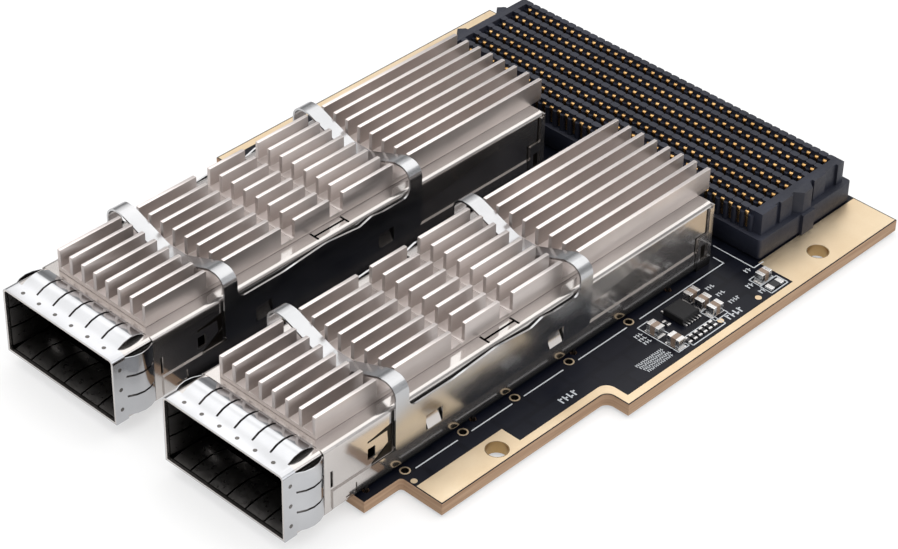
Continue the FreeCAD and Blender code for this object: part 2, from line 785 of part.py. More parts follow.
def mezzanine_connector_housing():
    """Moulded tray with seven contact ribs, end walls and keys, seen from the mating side."""
    half_length = connector_length / 2
    half_width = connector_width / 2
    columns_half = (contact_columns - 1) * contact_pitch / 2
    wall_inner = columns_half + rib_end_margin
    wall_outer = wall_inner + end_wall_thickness
    block_outer = wall_outer + end_step
    tray = extrude_up([(-half_length, -half_width), (half_length, -half_width),
                       (half_length, half_width), (-half_length, half_width)],
                      [connector_corner] * 4, connector_standoff, tray_height - connector_standoff)
    rows_half = rib_middles()[-1] + rib_thickness / 2
    solids = []
    for y in rib_middles():
        solids.append(block(-wall_inner, wall_inner, y - rib_thickness / 2, y + rib_thickness / 2,
                            tray_height, rib_height - rib_top_drop))
    end_wall = block(wall_inner, wall_outer, -rows_half, rows_half, tray_height, rib_height)
    solids.extend(mirrored_pair(end_wall))
    key_half = key_width / 2
    side_blocks = [
        (-rows_half, -rows_half + front_block_length),
        (-key_half - end_groove - side_block_length, -key_half - end_groove),
        (key_half + end_groove, key_half + end_groove + side_block_length),
        (rows_half - rear_block_length, rows_half),
    ]
    for y0, y1 in side_blocks:
        solids.append(block(wall_outer, block_outer, y0, y1, tray_height, rib_height))
    key = [(wall_outer, -key_half), (half_length, -key_half / 2),
           (half_length, key_half / 2), (wall_outer, key_half)]
    solids.append(extrude_up(key, [0] * len(key), tray_height, rib_height - tray_height))
    tab_half = key_tab_width / 2
    solids.append(block(half_length, half_length + key_tab_reach, -tab_half, tab_half, 0, tray_height))
    for y in (-post_offset, post_offset):
        post = [(-wall_outer, y - post_width / 2), (-wall_outer, y + post_width / 2),
                (-block_outer, y + post_width / 2), (-block_outer - post_reach, y),
                (-block_outer, y - post_width / 2)]
        solids.append(extrude_up(post, [0] * len(post), tray_height, rib_height - tray_height))
    foot_half = connector_foot / 2
    for x in (-half_length + connector_foot, half_length - connector_foot):
        for y in (-half_width + connector_foot, half_width - connector_foot):
            solids.append(block(x - foot_half, x + foot_half, y - foot_half, y + foot_half,
                                0, connector_standoff))
    for x in (-peg_spacing / 2, peg_spacing / 2):
        solids.append(flat_sided_post(x, 0, -peg_length, peg_diameter / 2, peg_sides,
                                      peg_length + connector_standoff))
    housing = tray.fuse(solids).removeSplitter()
    cuts = []
    middles = rib_middles()
    for low, high in zip(middles[:-1], middles[1:]):
        cuts.append(block(-wall_inner, wall_inner, low + rib_thickness / 2, high - rib_thickness / 2,
                          tray_height - channel_depth, tray_height))
    housing = housing.cut(cuts)
    housing.translate(FreeCAD.Vector(0, connector_centre_y, board_thickness))
    return housing


def mezzanine_connector_contacts():
    """A gold contact in front of and behind each rib at every column.

    Each is a four-sided wedge whose point is where it touches its mate."""
    low = board_thickness + blade_root_z
    high = board_thickness + blade_tip_z
    point_z = high - blade_bulge_drop
    blades = []
    for middle in rib_middles():
        rib_y = connector_centre_y + middle
        face = rib_y + rib_thickness / 2
        for column in range(contact_columns):
            x = (column - (contact_columns - 1) / 2) * contact_pitch
            blade = Part.makeWedge(x - blade_width / 2, face, low, point_z, x,
                                   x + blade_width / 2, face + blade_bulge, high, point_z, x)
            blades.append(blade)
            blades.append(blade.mirror(FreeCAD.Vector(x, rib_y, 0), FreeCAD.Vector(0, 1, 0)))
    return Part.Compound(blades)


def chip_centre():
    return right_edge_x - chip_inset, rear_edge_y - chip_setback


def controller_chip():
    x, y = chip_centre()
    half = chip_size / 2
    bottom = board_thickness + chip_standoff
    body = block(x - half, x + half, y - half, y + half, bottom, bottom + chip_height)
    top_edges = [edge for edge in body.Edges if edge.BoundBox.ZMin > bottom + chip_height - 1e-6]
    return body.makeChamfer(chip_bevel, top_edges)


def controller_chip_leads():
    """Short leads that run out from under the chip's left and right sides."""
    x, y = chip_centre()
    half = chip_size / 2
    leads = []
    for side in (-1, 1):
        low = x + min(side * half, side * (half + lead_reach))
        for i in range(lead_count):
            start = y + (i - (lead_count - 1) / 2) * lead_pitch - lead_width / 2
            leads.append(block(low, low + lead_reach, start, start + lead_width,
                               board_thickness, board_thickness + lead_height))
    return Part.Compound(leads)


def two_ended_part(x, y, length_x, length_y, height):
    """A small ceramic block standing on the board."""
    return block(x - length_x / 2, x + length_x / 2, y - length_y / 2, y + length_y / 2,
                 board_thickness, board_thickness + height)


def rearmost_capacitor_centre():
    x, y = chip_centre()
    behind = y + chip_size / 2 + capacitor_rows_gap + capacitor_length / 2
    return x + chip_size / 2 + capacitor_pitch / 2, behind + capacitor_length + filter_capacitor_gap


def ceramic_capacitors():
    """Three behind the chip, two in front of it and one farther back."""
    x, y = chip_centre()
    behind = y + chip_size / 2 + capacitor_rows_gap + capacitor_length / 2
    last_x = x + chip_size / 2 + capacitor_pitch / 2
    parts = []
    for i in range(3):
        parts.append(two_ended_part(last_x - i * capacitor_pitch, behind, capacitor_width,
                                    capacitor_length, capacitor_height))
    before = y - chip_size / 2 - front_capacitor_gap - capacitor_width / 2
    for i in range(2):
        parts.append(two_ended_part(x + i * front_capacitor_pitch, before, capacitor_length,
                                    capacitor_width, capacitor_height))
    last_x, farther = rearmost_capacitor_centre()
    parts.append(two_ended_part(last_x, farther, capacitor_width, capacitor_length, capacitor_height))
    return Part.Compound(parts)


def chip_resistors():
    """A column beside the chip, one before it and a long one beside the rearmost capacitor."""
    x, y = chip_centre()
    column_x = x + chip_size / 2 + lead_reach + resistor_gap + resistor_length / 2
    parts = []
    for i in range(resistor_count):
        row_y = y - resistor_shift + (i - (resistor_count - 1) / 2) * resistor_pitch
        parts.append(two_ended_part(column_x, row_y, resistor_length, resistor_width, resistor_height))
    between = y - chip_size / 2 - bypass_gap - resistor_width / 2
    parts.append(two_ended_part(x, between, resistor_length, resistor_width, resistor_height))
    corner_x, corner_y = rearmost_capacitor_centre()
    corner_x = corner_x + capacitor_width / 2 + corner_resistor_gap + corner_resistor_width / 2
    parts.append(two_ended_part(corner_x, corner_y, corner_resistor_width, corner_resistor_length,
                                resistor_height))
    return Part.Compound(parts)


def build():
    os.makedirs("parts", exist_ok=True)
    pieces = {
        "circuit_board": circuit_board(),
        "mezzanine_connector_housing": mezzanine_connector_housing(),
        "mezzanine_connector_contacts": mezzanine_connector_contacts(),
        "controller_chip": controller_chip(),
        "controller_chip_leads": controller_chip_leads(),
        "ceramic_capacitors": ceramic_capacitors(),
        "chip_resistors": chip_resistors(),
    }
    cage_pieces = {
        "cage_shell": cage_shell(),
        "cage_pan": cage_pan(),
        "cage_rear_cover": cage_rear_cover(),
        "emi_collar": emi_collar(),
        "heat_sink": heat_sink(),
        "heat_sink_clip": heat_sink_clip(),
        "port_connector": port_connector(),
        "port_contacts": port_contacts(),
    }
    for side in cage_centres:
        for name, solid in cage_pieces.items():
            pieces[side + "_" + name] = seat_on_board(solid, side)
    for name, shape in pieces.items():
        shape.exportStep("parts/" + name + ".step")


build()
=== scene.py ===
import json
import math

import bmesh
import bpy
from mathutils import Matrix, Vector
from mathutils.geometry import tessellate_polygon


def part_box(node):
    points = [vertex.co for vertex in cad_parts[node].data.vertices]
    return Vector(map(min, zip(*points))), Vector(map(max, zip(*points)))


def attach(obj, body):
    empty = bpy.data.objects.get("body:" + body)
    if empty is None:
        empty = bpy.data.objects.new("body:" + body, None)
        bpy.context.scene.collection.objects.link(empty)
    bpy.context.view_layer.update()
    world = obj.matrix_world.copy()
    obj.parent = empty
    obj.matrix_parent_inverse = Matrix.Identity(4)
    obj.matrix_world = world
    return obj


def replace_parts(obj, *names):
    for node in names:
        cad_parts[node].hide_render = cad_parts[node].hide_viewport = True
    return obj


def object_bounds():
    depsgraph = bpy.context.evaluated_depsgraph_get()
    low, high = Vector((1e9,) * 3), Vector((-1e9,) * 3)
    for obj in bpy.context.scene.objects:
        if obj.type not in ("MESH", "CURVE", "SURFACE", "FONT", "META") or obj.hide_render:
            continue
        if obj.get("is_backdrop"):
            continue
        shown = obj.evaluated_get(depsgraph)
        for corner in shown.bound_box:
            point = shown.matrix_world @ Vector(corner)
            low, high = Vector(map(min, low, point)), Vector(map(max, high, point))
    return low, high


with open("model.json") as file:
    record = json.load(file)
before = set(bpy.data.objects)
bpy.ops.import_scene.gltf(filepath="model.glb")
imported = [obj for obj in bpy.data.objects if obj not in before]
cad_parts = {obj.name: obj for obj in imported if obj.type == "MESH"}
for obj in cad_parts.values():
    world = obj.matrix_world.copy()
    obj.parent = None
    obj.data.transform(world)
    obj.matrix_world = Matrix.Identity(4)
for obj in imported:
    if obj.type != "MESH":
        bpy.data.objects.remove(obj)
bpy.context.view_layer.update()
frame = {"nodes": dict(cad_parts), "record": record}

# Lengths are in millimetres in the frame of the card, and are turned into metres where meshes are made.
MM = 0.001
NODES = frame["nodes"]


def corners(node):
    """Lowest and highest corner of a node, in millimetres to the nearest thousandth."""
    low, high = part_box(node)
    return [round(value / MM, 3) for value in low], [round(value / MM, 3) for value in high]


def middle(node, axis):
    low, high = corners(node)
    return (low[axis] + high[axis]) / 2


# Sizes that more than one section uses

BOARD_LOW, BOARD_HIGH = corners("circuit_board")
RIGHT_EDGE, REAR_EDGE, BOARD_TOP = BOARD_HIGH
TONGUE_FRONT = BOARD_LOW[1]
NARROW_EDGE = 31.2
STEP_Y = -3.7
SHOULDER_Y = -30.7
MOUNT_HOLES = [(31.65, 34.65), (29.2, -19.85)]

CAGES = {side: middle(side + "_cage_shell", 0) for side in ("left", "right")}
SHELL_LOW, SHELL_HIGH = corners("left_cage_shell")
PAN_LOW, PAN_HIGH = corners("left_cage_pan")
MOUTH_Y = SHELL_LOW[1]
CAGE_TOP = SHELL_HIGH[2]
SHEET = 0.2
PAN_HALF = (PAN_HIGH[0] - PAN_LOW[0]) / 2
CAGE_HALF = PAN_HALF - SHEET

CONNECTOR_Y = middle("mezzanine_connector_housing", 1)
COLUMN_PITCH = 1.27
RIB_PITCH = 2.54
COLUMNS = 40
RIBS = 7


# Shader nodes

def link(tree, a, b):
    tree.links.new(a, b)


def new_material(name):
    material = bpy.data.materials.new(name)
    material.use_nodes = True
    tree = material.node_tree
    shader = tree.nodes["Principled BSDF"]
    return material, tree, shader


def axes(tree, source, output):
    """X, Y and Z of a vector: an object's own coordinates or its normal."""
    vector = tree.nodes.new(source)
    split = tree.nodes.new("ShaderNodeSeparateXYZ")
    link(tree, vector.outputs[output], split.inputs["Vector"])
    return split.outputs


def noise(tree, scale, detail, stretch=(1, 1, 1)):
    place = tree.nodes.new("ShaderNodeTexCoord")
    mapping = tree.nodes.new("ShaderNodeMapping")
    mapping.inputs["Scale"].default_value = stretch
    link(tree, place.outputs["Object"], mapping.inputs["Vector"])
    node = tree.nodes.new("ShaderNodeTexNoise")
    node.inputs["Scale"].default_value = scale
    node.inputs["Detail"].default_value = detail
    link(tree, mapping.outputs["Vector"], node.inputs["Vector"])
    return node.outputs["Fac"]


def spread(tree, value, low, high, start=0.3, end=0.7):
    """Turns the range from start to end into the range from low to high, and stays within it."""
    node = tree.nodes.new("ShaderNodeMapRange")
    node.inputs["From Min"].default_value = start
    node.inputs["From Max"].default_value = end
    node.inputs["To Min"].default_value = low
    node.inputs["To Max"].default_value = high
    link(tree, value, node.inputs["Value"])
    return node.outputs["Result"]


def mix(tree, factor, a, b):
    """Blend of two colours, each a plain (red, green, blue) or a socket."""
    node = tree.nodes.new("ShaderNodeMix")
    node.data_type = "RGBA"
    link(tree, factor, node.inputs["Factor"])
    for socket, colour in ((node.inputs["A"], a), (node.inputs["B"], b)):
        if isinstance(colour, tuple):
            socket.default_value = colour + (1.0,)
        else:
            link(tree, colour, socket)
    return node.outputs["Result"]


def calculate(tree, operation, a, b=0.0):
    """One step of arithmetic on a socket and a second socket or plain number."""
    node = tree.nodes.new("ShaderNodeMath")
    node.operation = operation
    link(tree, a, node.inputs[0])
    if isinstance(b, float):
        node.inputs[1].default_value = b
    else:
        link(tree, b, node.inputs[1])
    return node.outputs[0]


def bump(tree, shader, height, strength, distance):
    node = tree.nodes.new("ShaderNodeBump")
    node.inputs["Strength"].default_value = strength
    node.inputs["Distance"].default_value = distance
    link(tree, height, node.inputs["Height"])
    link(tree, node.outputs["Normal"], shader.inputs["Normal"])


# Materials

BROAD_DETAIL = 3.0
FINE_DETAIL = 6.0
FINE_DEPTH = 0.02 * MM


def surface(name, dark, light, rough, grain, metallic=0.0, stretch=(1, 1, 1), relief=0.1, depth=FINE_DEPTH,
            blotch=120.0, shine=0.5):
    """A finish with broad tone changes, a fine grain in its roughness and a slight relief."""
    material, tree, shader = new_material(name)
    shader.inputs["Metallic"].default_value = metallic
    shader.inputs["Specular IOR Level"].default_value = shine
    broad = noise(tree, blotch, BROAD_DETAIL)
    fine = noise(tree, grain, FINE_DETAIL, stretch)
    link(tree, mix(tree, spread(tree, broad, 0.0, 1.0), dark, light), shader.inputs["Base Color"])
    link(tree, spread(tree, fine, rough[0], rough[1]), shader.inputs["Roughness"])
    bump(tree, shader, fine, relief, depth)
    return material


SHEET_TONES = ((0.5, 0.472, 0.455), (0.6, 0.57, 0.55))
# Painted shade: the cage walls are darker at their foot where they stand over the board.
SHEET_FOOT_PAINTED_SHADE_TONE = (0.12, 0.114, 0.11)
SHEET_FOOT_PAINTED_SHADE_FADE = (2.2, 3.6)
# Painted shade on the faces that look into the cages; the rim of RIM_WIDTH at the mouth is left out.
INSIDE_PAINTED_SHADE_TONE = (0.05, 0.048, 0.045)
INSIDE_MARGIN = 0.01
INSIDE_FLOOR = BOARD_TOP + SHEET / 2
INSIDE_CORNER = 19.57
RIM_WIDTH = 0.35


def inside_cages(tree, x, y, z):
    """Mask of the painted shade: 1 on the faces that look into a cage and 0 elsewhere. The corner limit
    follows the top bends.
    """
    spans = []
    for centre in CAGES.values():
        across = calculate(tree, "ABSOLUTE", calculate(tree, "SUBTRACT", x, centre * MM))
        within = calculate(tree, "LESS_THAN", across, (CAGE_HALF - SHEET + INSIDE_MARGIN) * MM)
        corner = calculate(tree, "LESS_THAN", calculate(tree, "ADD", across, z), INSIDE_CORNER * MM)
        spans.append(calculate(tree, "MINIMUM", within, corner))
    inside = calculate(tree, "MAXIMUM", spans[0], spans[1])
    for value, side, limit in ((z, "LESS_THAN", CAGE_TOP - SHEET + INSIDE_MARGIN),
                               (z, "GREATER_THAN", INSIDE_FLOOR),
                               (y, "GREATER_THAN", MOUTH_Y + RIM_WIDTH)):
        inside = calculate(tree, "MINIMUM", inside, calculate(tree, side, value, limit * MM))
    return inside


def cage_material():
    """Bright, slightly wavy and hazy sheet, with painted shade at its foot over the board and on the faces
    inside the cages.
    """
    material, tree, shader = new_material("cage_nickel")
    shader.inputs["Metallic"].default_value = 1.0
    x, y, z = axes(tree, "ShaderNodeTexCoord", "Object")
    broad = noise(tree, scale=90.0, detail=BROAD_DETAIL)
    bright = mix(tree, spread(tree, broad, 0.0, 1.0), *SHEET_TONES)
    # Painted shade at the foot of the walls over the board and on the faces inside the cages.
    over_board = calculate(tree, "GREATER_THAN", y, TONGUE_FRONT * MM)
    low = spread(tree, z, 1.0, 0.0, SHEET_FOOT_PAINTED_SHADE_FADE[0] * MM, SHEET_FOOT_PAINTED_SHADE_FADE[1] * MM)
    outer = mix(tree, calculate(tree, "MULTIPLY", low, over_board), bright, SHEET_FOOT_PAINTED_SHADE_TONE)
    tone = mix(tree, inside_cages(tree, x, y, z), outer, INSIDE_PAINTED_SHADE_TONE)
    link(tree, tone, shader.inputs["Base Color"])
    smudges = noise(tree, scale=150.0, detail=2.0, stretch=(1, 0.4, 1))
    link(tree, spread(tree, smudges, 0.1, 0.17), shader.inputs["Roughness"])
    waves = noise(tree, scale=60.0, detail=1.0, stretch=(1, 0.6, 1))
    bump(tree, shader, waves, strength=0.12, distance=0.6 * MM)
    haze = tree.nodes.new("ShaderNodeBsdfPrincipled")
    haze.inputs["Metallic"].default_value = 1.0
    link(tree, tone, haze.inputs["Base Color"])
    link(tree, spread(tree, smudges, 0.5, 0.62), haze.inputs["Roughness"])
    blend = tree.nodes.new("ShaderNodeMixShader")
    link(tree, spread(tree, broad, 0.1, 0.2), blend.inputs[0])
    link(tree, shader.outputs[0], blend.inputs[1])
    link(tree, haze.outputs[0], blend.inputs[2])
    link(tree, blend.outputs[0], tree.nodes["Material Output"].inputs["Surface"])
    return material


FIN_MIDDLE = 12.4
# Painted light: the same metal is lighter in the rear bank than in the front bank, and lighter still on the
# fin tops that face up.
BANK_CHANGE = (0.0, 8.0)
FRONT_BANK_PAINTED_SHADE_TONES = ((0.48, 0.435, 0.415), (0.57, 0.52, 0.5))
REAR_BANK_PAINTED_LIGHT_TONES = ((0.62, 0.565, 0.54), (0.71, 0.65, 0.625))
FIN_TOP_PAINTED_HIGHLIGHT_TONES = ((0.73, 0.672, 0.65), (0.82, 0.76, 0.735))


def heat_sink_material():
    """Satin extruded metal: drawn grain along the fins, with painted light that makes the rear bank lighter
    and a painted highlight on the cut fin tops that face up.
    """
    material, tree, shader = new_material("heat_sink_satin_painted_light")
    shader.inputs["Metallic"].default_value = 0.95
    facing_up = axes(tree, "ShaderNodeNewGeometry", "Normal")["Z"]
    place = axes(tree, "ShaderNodeTexCoord", "Object")
    # Painted highlight: the faces of the fin tops that point up are made lighter.
    upward = spread(tree, facing_up, 0.0, 1.0, start=0.35, end=0.85)
    high = calculate(tree, "GREATER_THAN", place["Z"], FIN_MIDDLE * MM)
    tops = calculate(tree, "MULTIPLY", upward, high)
    # Painted light: the fin sides grow lighter towards the rear bank.
    rearward = spread(tree, place["Y"], 0.0, 1.0, BANK_CHANGE[0] * MM, BANK_CHANGE[1] * MM)
    broad = spread(tree, noise(tree, scale=120.0, detail=BROAD_DETAIL), 0.0, 1.0)
    drawn = mix(tree, rearward, mix(tree, broad, *FRONT_BANK_PAINTED_SHADE_TONES), mix(tree, broad, *REAR_BANK_PAINTED_LIGHT_TONES))
    link(tree, mix(tree, tops, drawn, mix(tree, broad, *FIN_TOP_PAINTED_HIGHLIGHT_TONES)), shader.inputs["Base Color"])
    fine = noise(tree, scale=2400.0, detail=FINE_DETAIL, stretch=(1, 0.06, 1))
    link(tree, spread(tree, fine, 0.36, 0.48), shader.inputs["Roughness"])
    bump(tree, shader, fine, strength=0.14, distance=FINE_DEPTH)
    return material


TRACE_TONES = {
    "Color1": (0.0032, 0.0038, 0.007, 1),
    "Color2": (0.0048, 0.0056, 0.0098, 1),
    "Mortar": (0.0022, 0.0026, 0.005, 1),
}
CLOUD_TONE = (0.0068, 0.0078, 0.0165)
CUT_EDGE_TONES = ((0.29, 0.18, 0.11), (0.43, 0.29, 0.19))


def board_material():
    """Dark solder mask above and below, brown laminate on the cut edges."""
    material, tree, shader = new_material("board_mask")
    shader.inputs["Specular IOR Level"].default_value = 0.18
    upright = calculate(tree, "ABSOLUTE", axes(tree, "ShaderNodeNewGeometry", "Normal")["Z"])
    flat = spread(tree, upright, 0.0, 1.0, start=0.4, end=0.6)
    place = tree.nodes.new("ShaderNodeTexCoord")
    turn = tree.nodes.new("ShaderNodeMapping")
    turn.inputs["Rotation"].default_value = (0, 0, math.radians(90))
    traces = tree.nodes.new("ShaderNodeTexBrick")
    traces.inputs["Scale"].default_value = 90.0
    traces.inputs["Mortar Size"].default_value = 0.03
    for socket, tone in TRACE_TONES.items():
        traces.inputs[socket].default_value = tone
    link(tree, place.outputs["Object"], turn.inputs["Vector"])
    link(tree, turn.outputs["Vector"], traces.inputs["Vector"])
    cloud = noise(tree, scale=60.0, detail=BROAD_DETAIL)
    mask = mix(tree, spread(tree, cloud, 0.0, 0.35), traces.outputs["Color"], CLOUD_TONE)
    layers = noise(tree, scale=900.0, detail=BROAD_DETAIL, stretch=(0.1, 0.1, 3.0))
    cut_edge = mix(tree, spread(tree, layers, 0.0, 1.0), *CUT_EDGE_TONES)
    link(tree, mix(tree, flat, cut_edge, mask), shader.inputs["Base Color"])
    link(tree, spread(tree, flat, 0.75, 0.3, start=0.0, end=1.0), shader.inputs["Roughness"])
    weave = noise(tree, scale=2500.0, detail=BROAD_DETAIL)
    bump(tree, shader, weave, strength=0.08, distance=FINE_DEPTH)
    return material


MATERIALS = {
    "board": board_material(),
    "cage_metal": cage_material(),
    "heat_sink_metal": heat_sink_material(),
    "gold": surface(
        "plated_gold", (0.74, 0.575, 0.38), (0.84, 0.69, 0.49),
        rough=(0.36, 0.48), grain=2500.0, metallic=1.0, relief=0.12),
    # Painted shade: the plated gold darkened for the walls inside the mounting holes.
    "barrel_gold": surface(
        "barrel_gold", (0.36, 0.23, 0.1), (0.5, 0.34, 0.16),
        rough=(0.3, 0.42), grain=2500.0, metallic=1.0),
    "contact_gold": surface(
        "contact_gold", (0.5, 0.28, 0.1), (0.74, 0.47, 0.2),
        rough=(0.22, 0.34), grain=3000.0, metallic=1.0),
    "connector_plastic": surface(
        "connector_plastic", (0.01, 0.0115, 0.02), (0.018, 0.0205, 0.035),
        rough=(0.4, 0.56), grain=2600.0, relief=0.3, depth=0.03 * MM, shine=0.4),
    "collar_metal": surface(
        "collar_nickel", (0.43, 0.435, 0.45), (0.52, 0.525, 0.54),
        rough=(0.09, 0.14), grain=1600.0, metallic=1.0, relief=0.02),
    "clip_steel": surface(
        "clip_steel", (0.43, 0.435, 0.445), (0.52, 0.52, 0.53),
        rough=(0.17, 0.25), grain=700.0, metallic=1.0, stretch=(1, 0.3, 1), relief=0.012),
    "chip_body": surface(
        "chip_body", (0.008, 0.008, 0.009), (0.015, 0.015, 0.016),
        rough=(0.4, 0.55), grain=4000.0, relief=0.2, shine=0.25),
    "solder_tin": surface(
        "solder_tin", (0.7, 0.69, 0.68), (0.85, 0.84, 0.83),
        rough=(0.22, 0.34), grain=3000.0, metallic=1.0),
    "capacitor_body": surface(
        "capacitor_body", (0.2, 0.14, 0.1), (0.3, 0.22, 0.17),
        rough=(0.35, 0.5), grain=4000.0),
    "resistor_body": surface(
        "resistor_body", (0.012, 0.012, 0.014), (0.024, 0.024, 0.027),
        rough=(0.3, 0.45), grain=4000.0),
    "silk": surface(
        "white_print", (0.5, 0.53, 0.56), (0.66, 0.68, 0.7),
        rough=(0.5, 0.65), grain=5000.0),
    "shade": surface(
        "weld_shade", (0.1, 0.095, 0.09), (0.2, 0.19, 0.18),
        rough=(0.4, 0.55), grain=4000.0, metallic=1.0),
    # Painted shade: near-black metal for the walls of the ring holes and for plates over shaded openings and
    # seams.
    "hole_painted_shade": surface(
        "dark_barrel", (0.02, 0.017, 0.013), (0.04, 0.033, 0.026),
        rough=(0.4, 0.55), grain=3000.0, metallic=1.0),
    # Painted shade: the nickel of the spring fingers inside the mouths darkened.
    "inner_metal_painted_shade": surface(
        "inner_finger_metal", (0.15, 0.145, 0.14), (0.24, 0.23, 0.225),
        rough=(0.26, 0.36), grain=2000.0, metallic=1.0),
}


# The nodes get their materials, rounded edges and smooth curves

SMOOTH_BELOW = math.radians(34)
WELD_DISTANCE = 1e-6
ROUNDING = {"heat_sink": 0.07, "mezzanine_connector_housing": 0.05}


def split_sharp(obj):
    """Keeps the edges sharp that turn by more than SMOOTH_BELOW."""
    split = obj.modifiers.new("split", "EDGE_SPLIT")
    split.split_angle = SMOOTH_BELOW


def round_edges(obj, width, sharper_than=None):
    rounding = obj.modifiers.new("rounding", "BEVEL")
    rounding.width = width * MM
    rounding.segments = 2
    if sharper_than:
        rounding.limit_method = "ANGLE"
        rounding.angle_limit = math.radians(sharper_than)


def soften(obj, width):
    """Joined corners, a small rounding on sharp edges and smooth shading on curved ones."""
    for polygon in obj.data.polygons:
        polygon.use_smooth = True
    weld = obj.modifiers.new("weld", "WELD")
    weld.merge_threshold = WELD_DISTANCE
    if width > 0:
        round_edges(obj, width, sharper_than=50)
    split_sharp(obj)


for entry in frame["record"]["subparts"]:
    node = NODES[entry["node"]]
    node.data.materials.clear()
    node.data.materials.append(MATERIALS[entry["material_slot"]])
    soften(node, max((size for name, size in ROUNDING.items() if node.name.endswith(name)), default=0.0))


# Mesh building

def piece(name, points, faces, slot, material=None, smooth=False):
    """Makes a piece of one mesh, with the looks of its slot unless another material is named."""
    mesh = bpy.data.meshes.new(name)
    mesh.from_pydata([(x * MM, y * MM, z * MM) for x, y, z in points], [], faces)
    mesh.validate()
    work = bmesh.new()
    work.from_mesh(mesh)
    bmesh.ops.recalc_face_normals(work, faces=work.faces)
    work.to_mesh(mesh)
    work.free()
    for polygon in mesh.polygons:
        polygon.use_smooth = smooth
    obj = bpy.data.objects.new(name, mesh)
    bpy.context.scene.collection.objects.link(obj)
    if smooth:
        split_sharp(obj)
    obj.data.materials.append(MATERIALS[material or slot])
    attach(obj, "root")
    return obj


def circle(x, y, radius, sides=40):
    angles = [2 * math.pi * i / sides for i in range(sides)]
    return [(x + radius * math.cos(angle), y + radius * math.sin(angle)) for angle in angles]


def rectangle(x0, x1, y0, y1):
    return [(x0, y0), (x1, y0), (x1, y1), (x0, y1)]


def rounded(outline, steps=6):
    """Points of an outline of (x, y, radius) corners, each rounded by its own radius."""
    points = []
    for i, (x, y, radius) in enumerate(outline):
        if radius <= 0:
            points.append((x, y))
            continue
        here = Vector((x, y))
        before = (Vector(outline[i - 1][:2]) - here).normalized()
        after = (Vector(outline[(i + 1) % len(outline)][:2]) - here).normalized()
        half = before.angle(after) / 2
        centre = here + (before + after).normalized() * (radius / math.sin(half))
        start = here + before * (radius / math.tan(half)) - centre
        end = here + after * (radius / math.tan(half)) - centre
        first = math.atan2(start.y, start.x)
        turn = (math.atan2(end.y, end.x) - first + math.pi) % (2 * math.pi) - math.pi
        for k in range(steps + 1):
            angle = first + turn * k / steps
            points.append((centre.x + radius * math.cos(angle), centre.y + radius * math.sin(angle)))
    return points


def mirrored(points):
    return [(-x, y) for x, y in reversed(points)]


class Builder:
    """Collects many small solids that become one piece."""

    def __init__(self):
        self.points = []
        self.faces = []

    def add(self, points, faces):
        start = len(self.points)
        self.points += points
        self.faces += [tuple(start + i for i in face) for face in faces]

    def prism(self, low, high):
        """Solid between two matching outlines of (x, y, z)."""
        count = len(low)
        faces = [tuple(range(count)), tuple(range(count, 2 * count))]
        faces += [(i, (i + 1) % count, (i + 1) % count + count, i + count) for i in range(count)]
        self.add(low + high, faces)

    def plate(self, loops, z0, z1):
        """Flat plate bounded by loops of (x, y): the outline first, then its holes."""
        flat = [p for loop in loops for p in loop]
        triangles = tessellate_polygon([[Vector((x, y, 0)) for x, y in loop] for loop in loops])
        count = len(flat)
        points = [(x, y, z0) for x, y in flat] + [(x, y, z1) for x, y in flat]
        faces = [tuple(t) for t in triangles] + [tuple(i + count for i in t) for t in triangles]
        start = 0
        for loop in loops:
            for i in range(len(loop)):
                j = (i + 1) % len(loop)
                faces.append((start + i, start + j, start + j + count, start + i + count))
            start += len(loop)
        self.add(points, faces)

    def box(self, x0, x1, y0, y1, z0, z1):
        self.plate([rectangle(x0, x1, y0, y1)], z0, z1)

    def line(self, x0, y0, x1, y1, width, z0, z1):
        """Straight stroke of a given width between two points."""
        length = math.hypot(x1 - x0, y1 - y0)
        nx = -(y1 - y0) / length * width / 2
        ny = (x1 - x0) / length * width / 2
        self.plate([[(x0 + nx, y0 + ny), (x1 + nx, y1 + ny), (x1 - nx, y1 - ny), (x0 - nx, y0 - ny)]], z0, z1)

    def tube(self, x, y, outer, inner, z0, z1, sides=40):
        self.plate([circle(x, y, outer, sides), circle(x, y, inner, sides)], z0, z1)

    def make(self, name, slot, material=None, smooth=False):
        return piece(name, self.points, self.faces, slot, material, smooth)


# Gold fields on the board: one at each rear corner, narrowing to a strip that widens again at the front

FIELD_HIGH = BOARD_TOP + 0.02
FIELD_MARGIN = 0.16
STRIP_WIDTH = 1.22
REAR_FIELD = (27.95, 27.7)
FRONT_FIELD = (27.2, -16.95)
STEP_BEND = 1.25
STRIP_BEND = 1.4
HOLE_RIM = 1.4
GOLD_DOTS = [(32.32, 22.3, 0.42), (31.95, 15.67, 0.42), (26.4, -30.12, 0.4)]
DOT_SIDES = 24

gold_outline = rounded([
    (REAR_FIELD[0], REAR_EDGE - FIELD_MARGIN, 0),
    (RIGHT_EDGE - FIELD_MARGIN, REAR_EDGE - FIELD_MARGIN, 0),
    (RIGHT_EDGE - FIELD_MARGIN, STEP_Y + FIELD_MARGIN, 0),
    (NARROW_EDGE - FIELD_MARGIN, STEP_Y + FIELD_MARGIN, STEP_BEND),
    (NARROW_EDGE - FIELD_MARGIN, SHOULDER_Y + FIELD_MARGIN, 0),
    (FRONT_FIELD[0], SHOULDER_Y + FIELD_MARGIN, 0),
    (FRONT_FIELD[0], FRONT_FIELD[1], 0),
    (NARROW_EDGE - STRIP_WIDTH, FRONT_FIELD[1], 0),
    (NARROW_EDGE - STRIP_WIDTH, STEP_Y + STRIP_WIDTH, STRIP_BEND),
    (RIGHT_EDGE - STRIP_WIDTH, STEP_Y + STRIP_WIDTH, 0),
    (RIGHT_EDGE - STRIP_WIDTH, REAR_FIELD[1], 0),
    (REAR_FIELD[0], REAR_FIELD[1], 0),
])
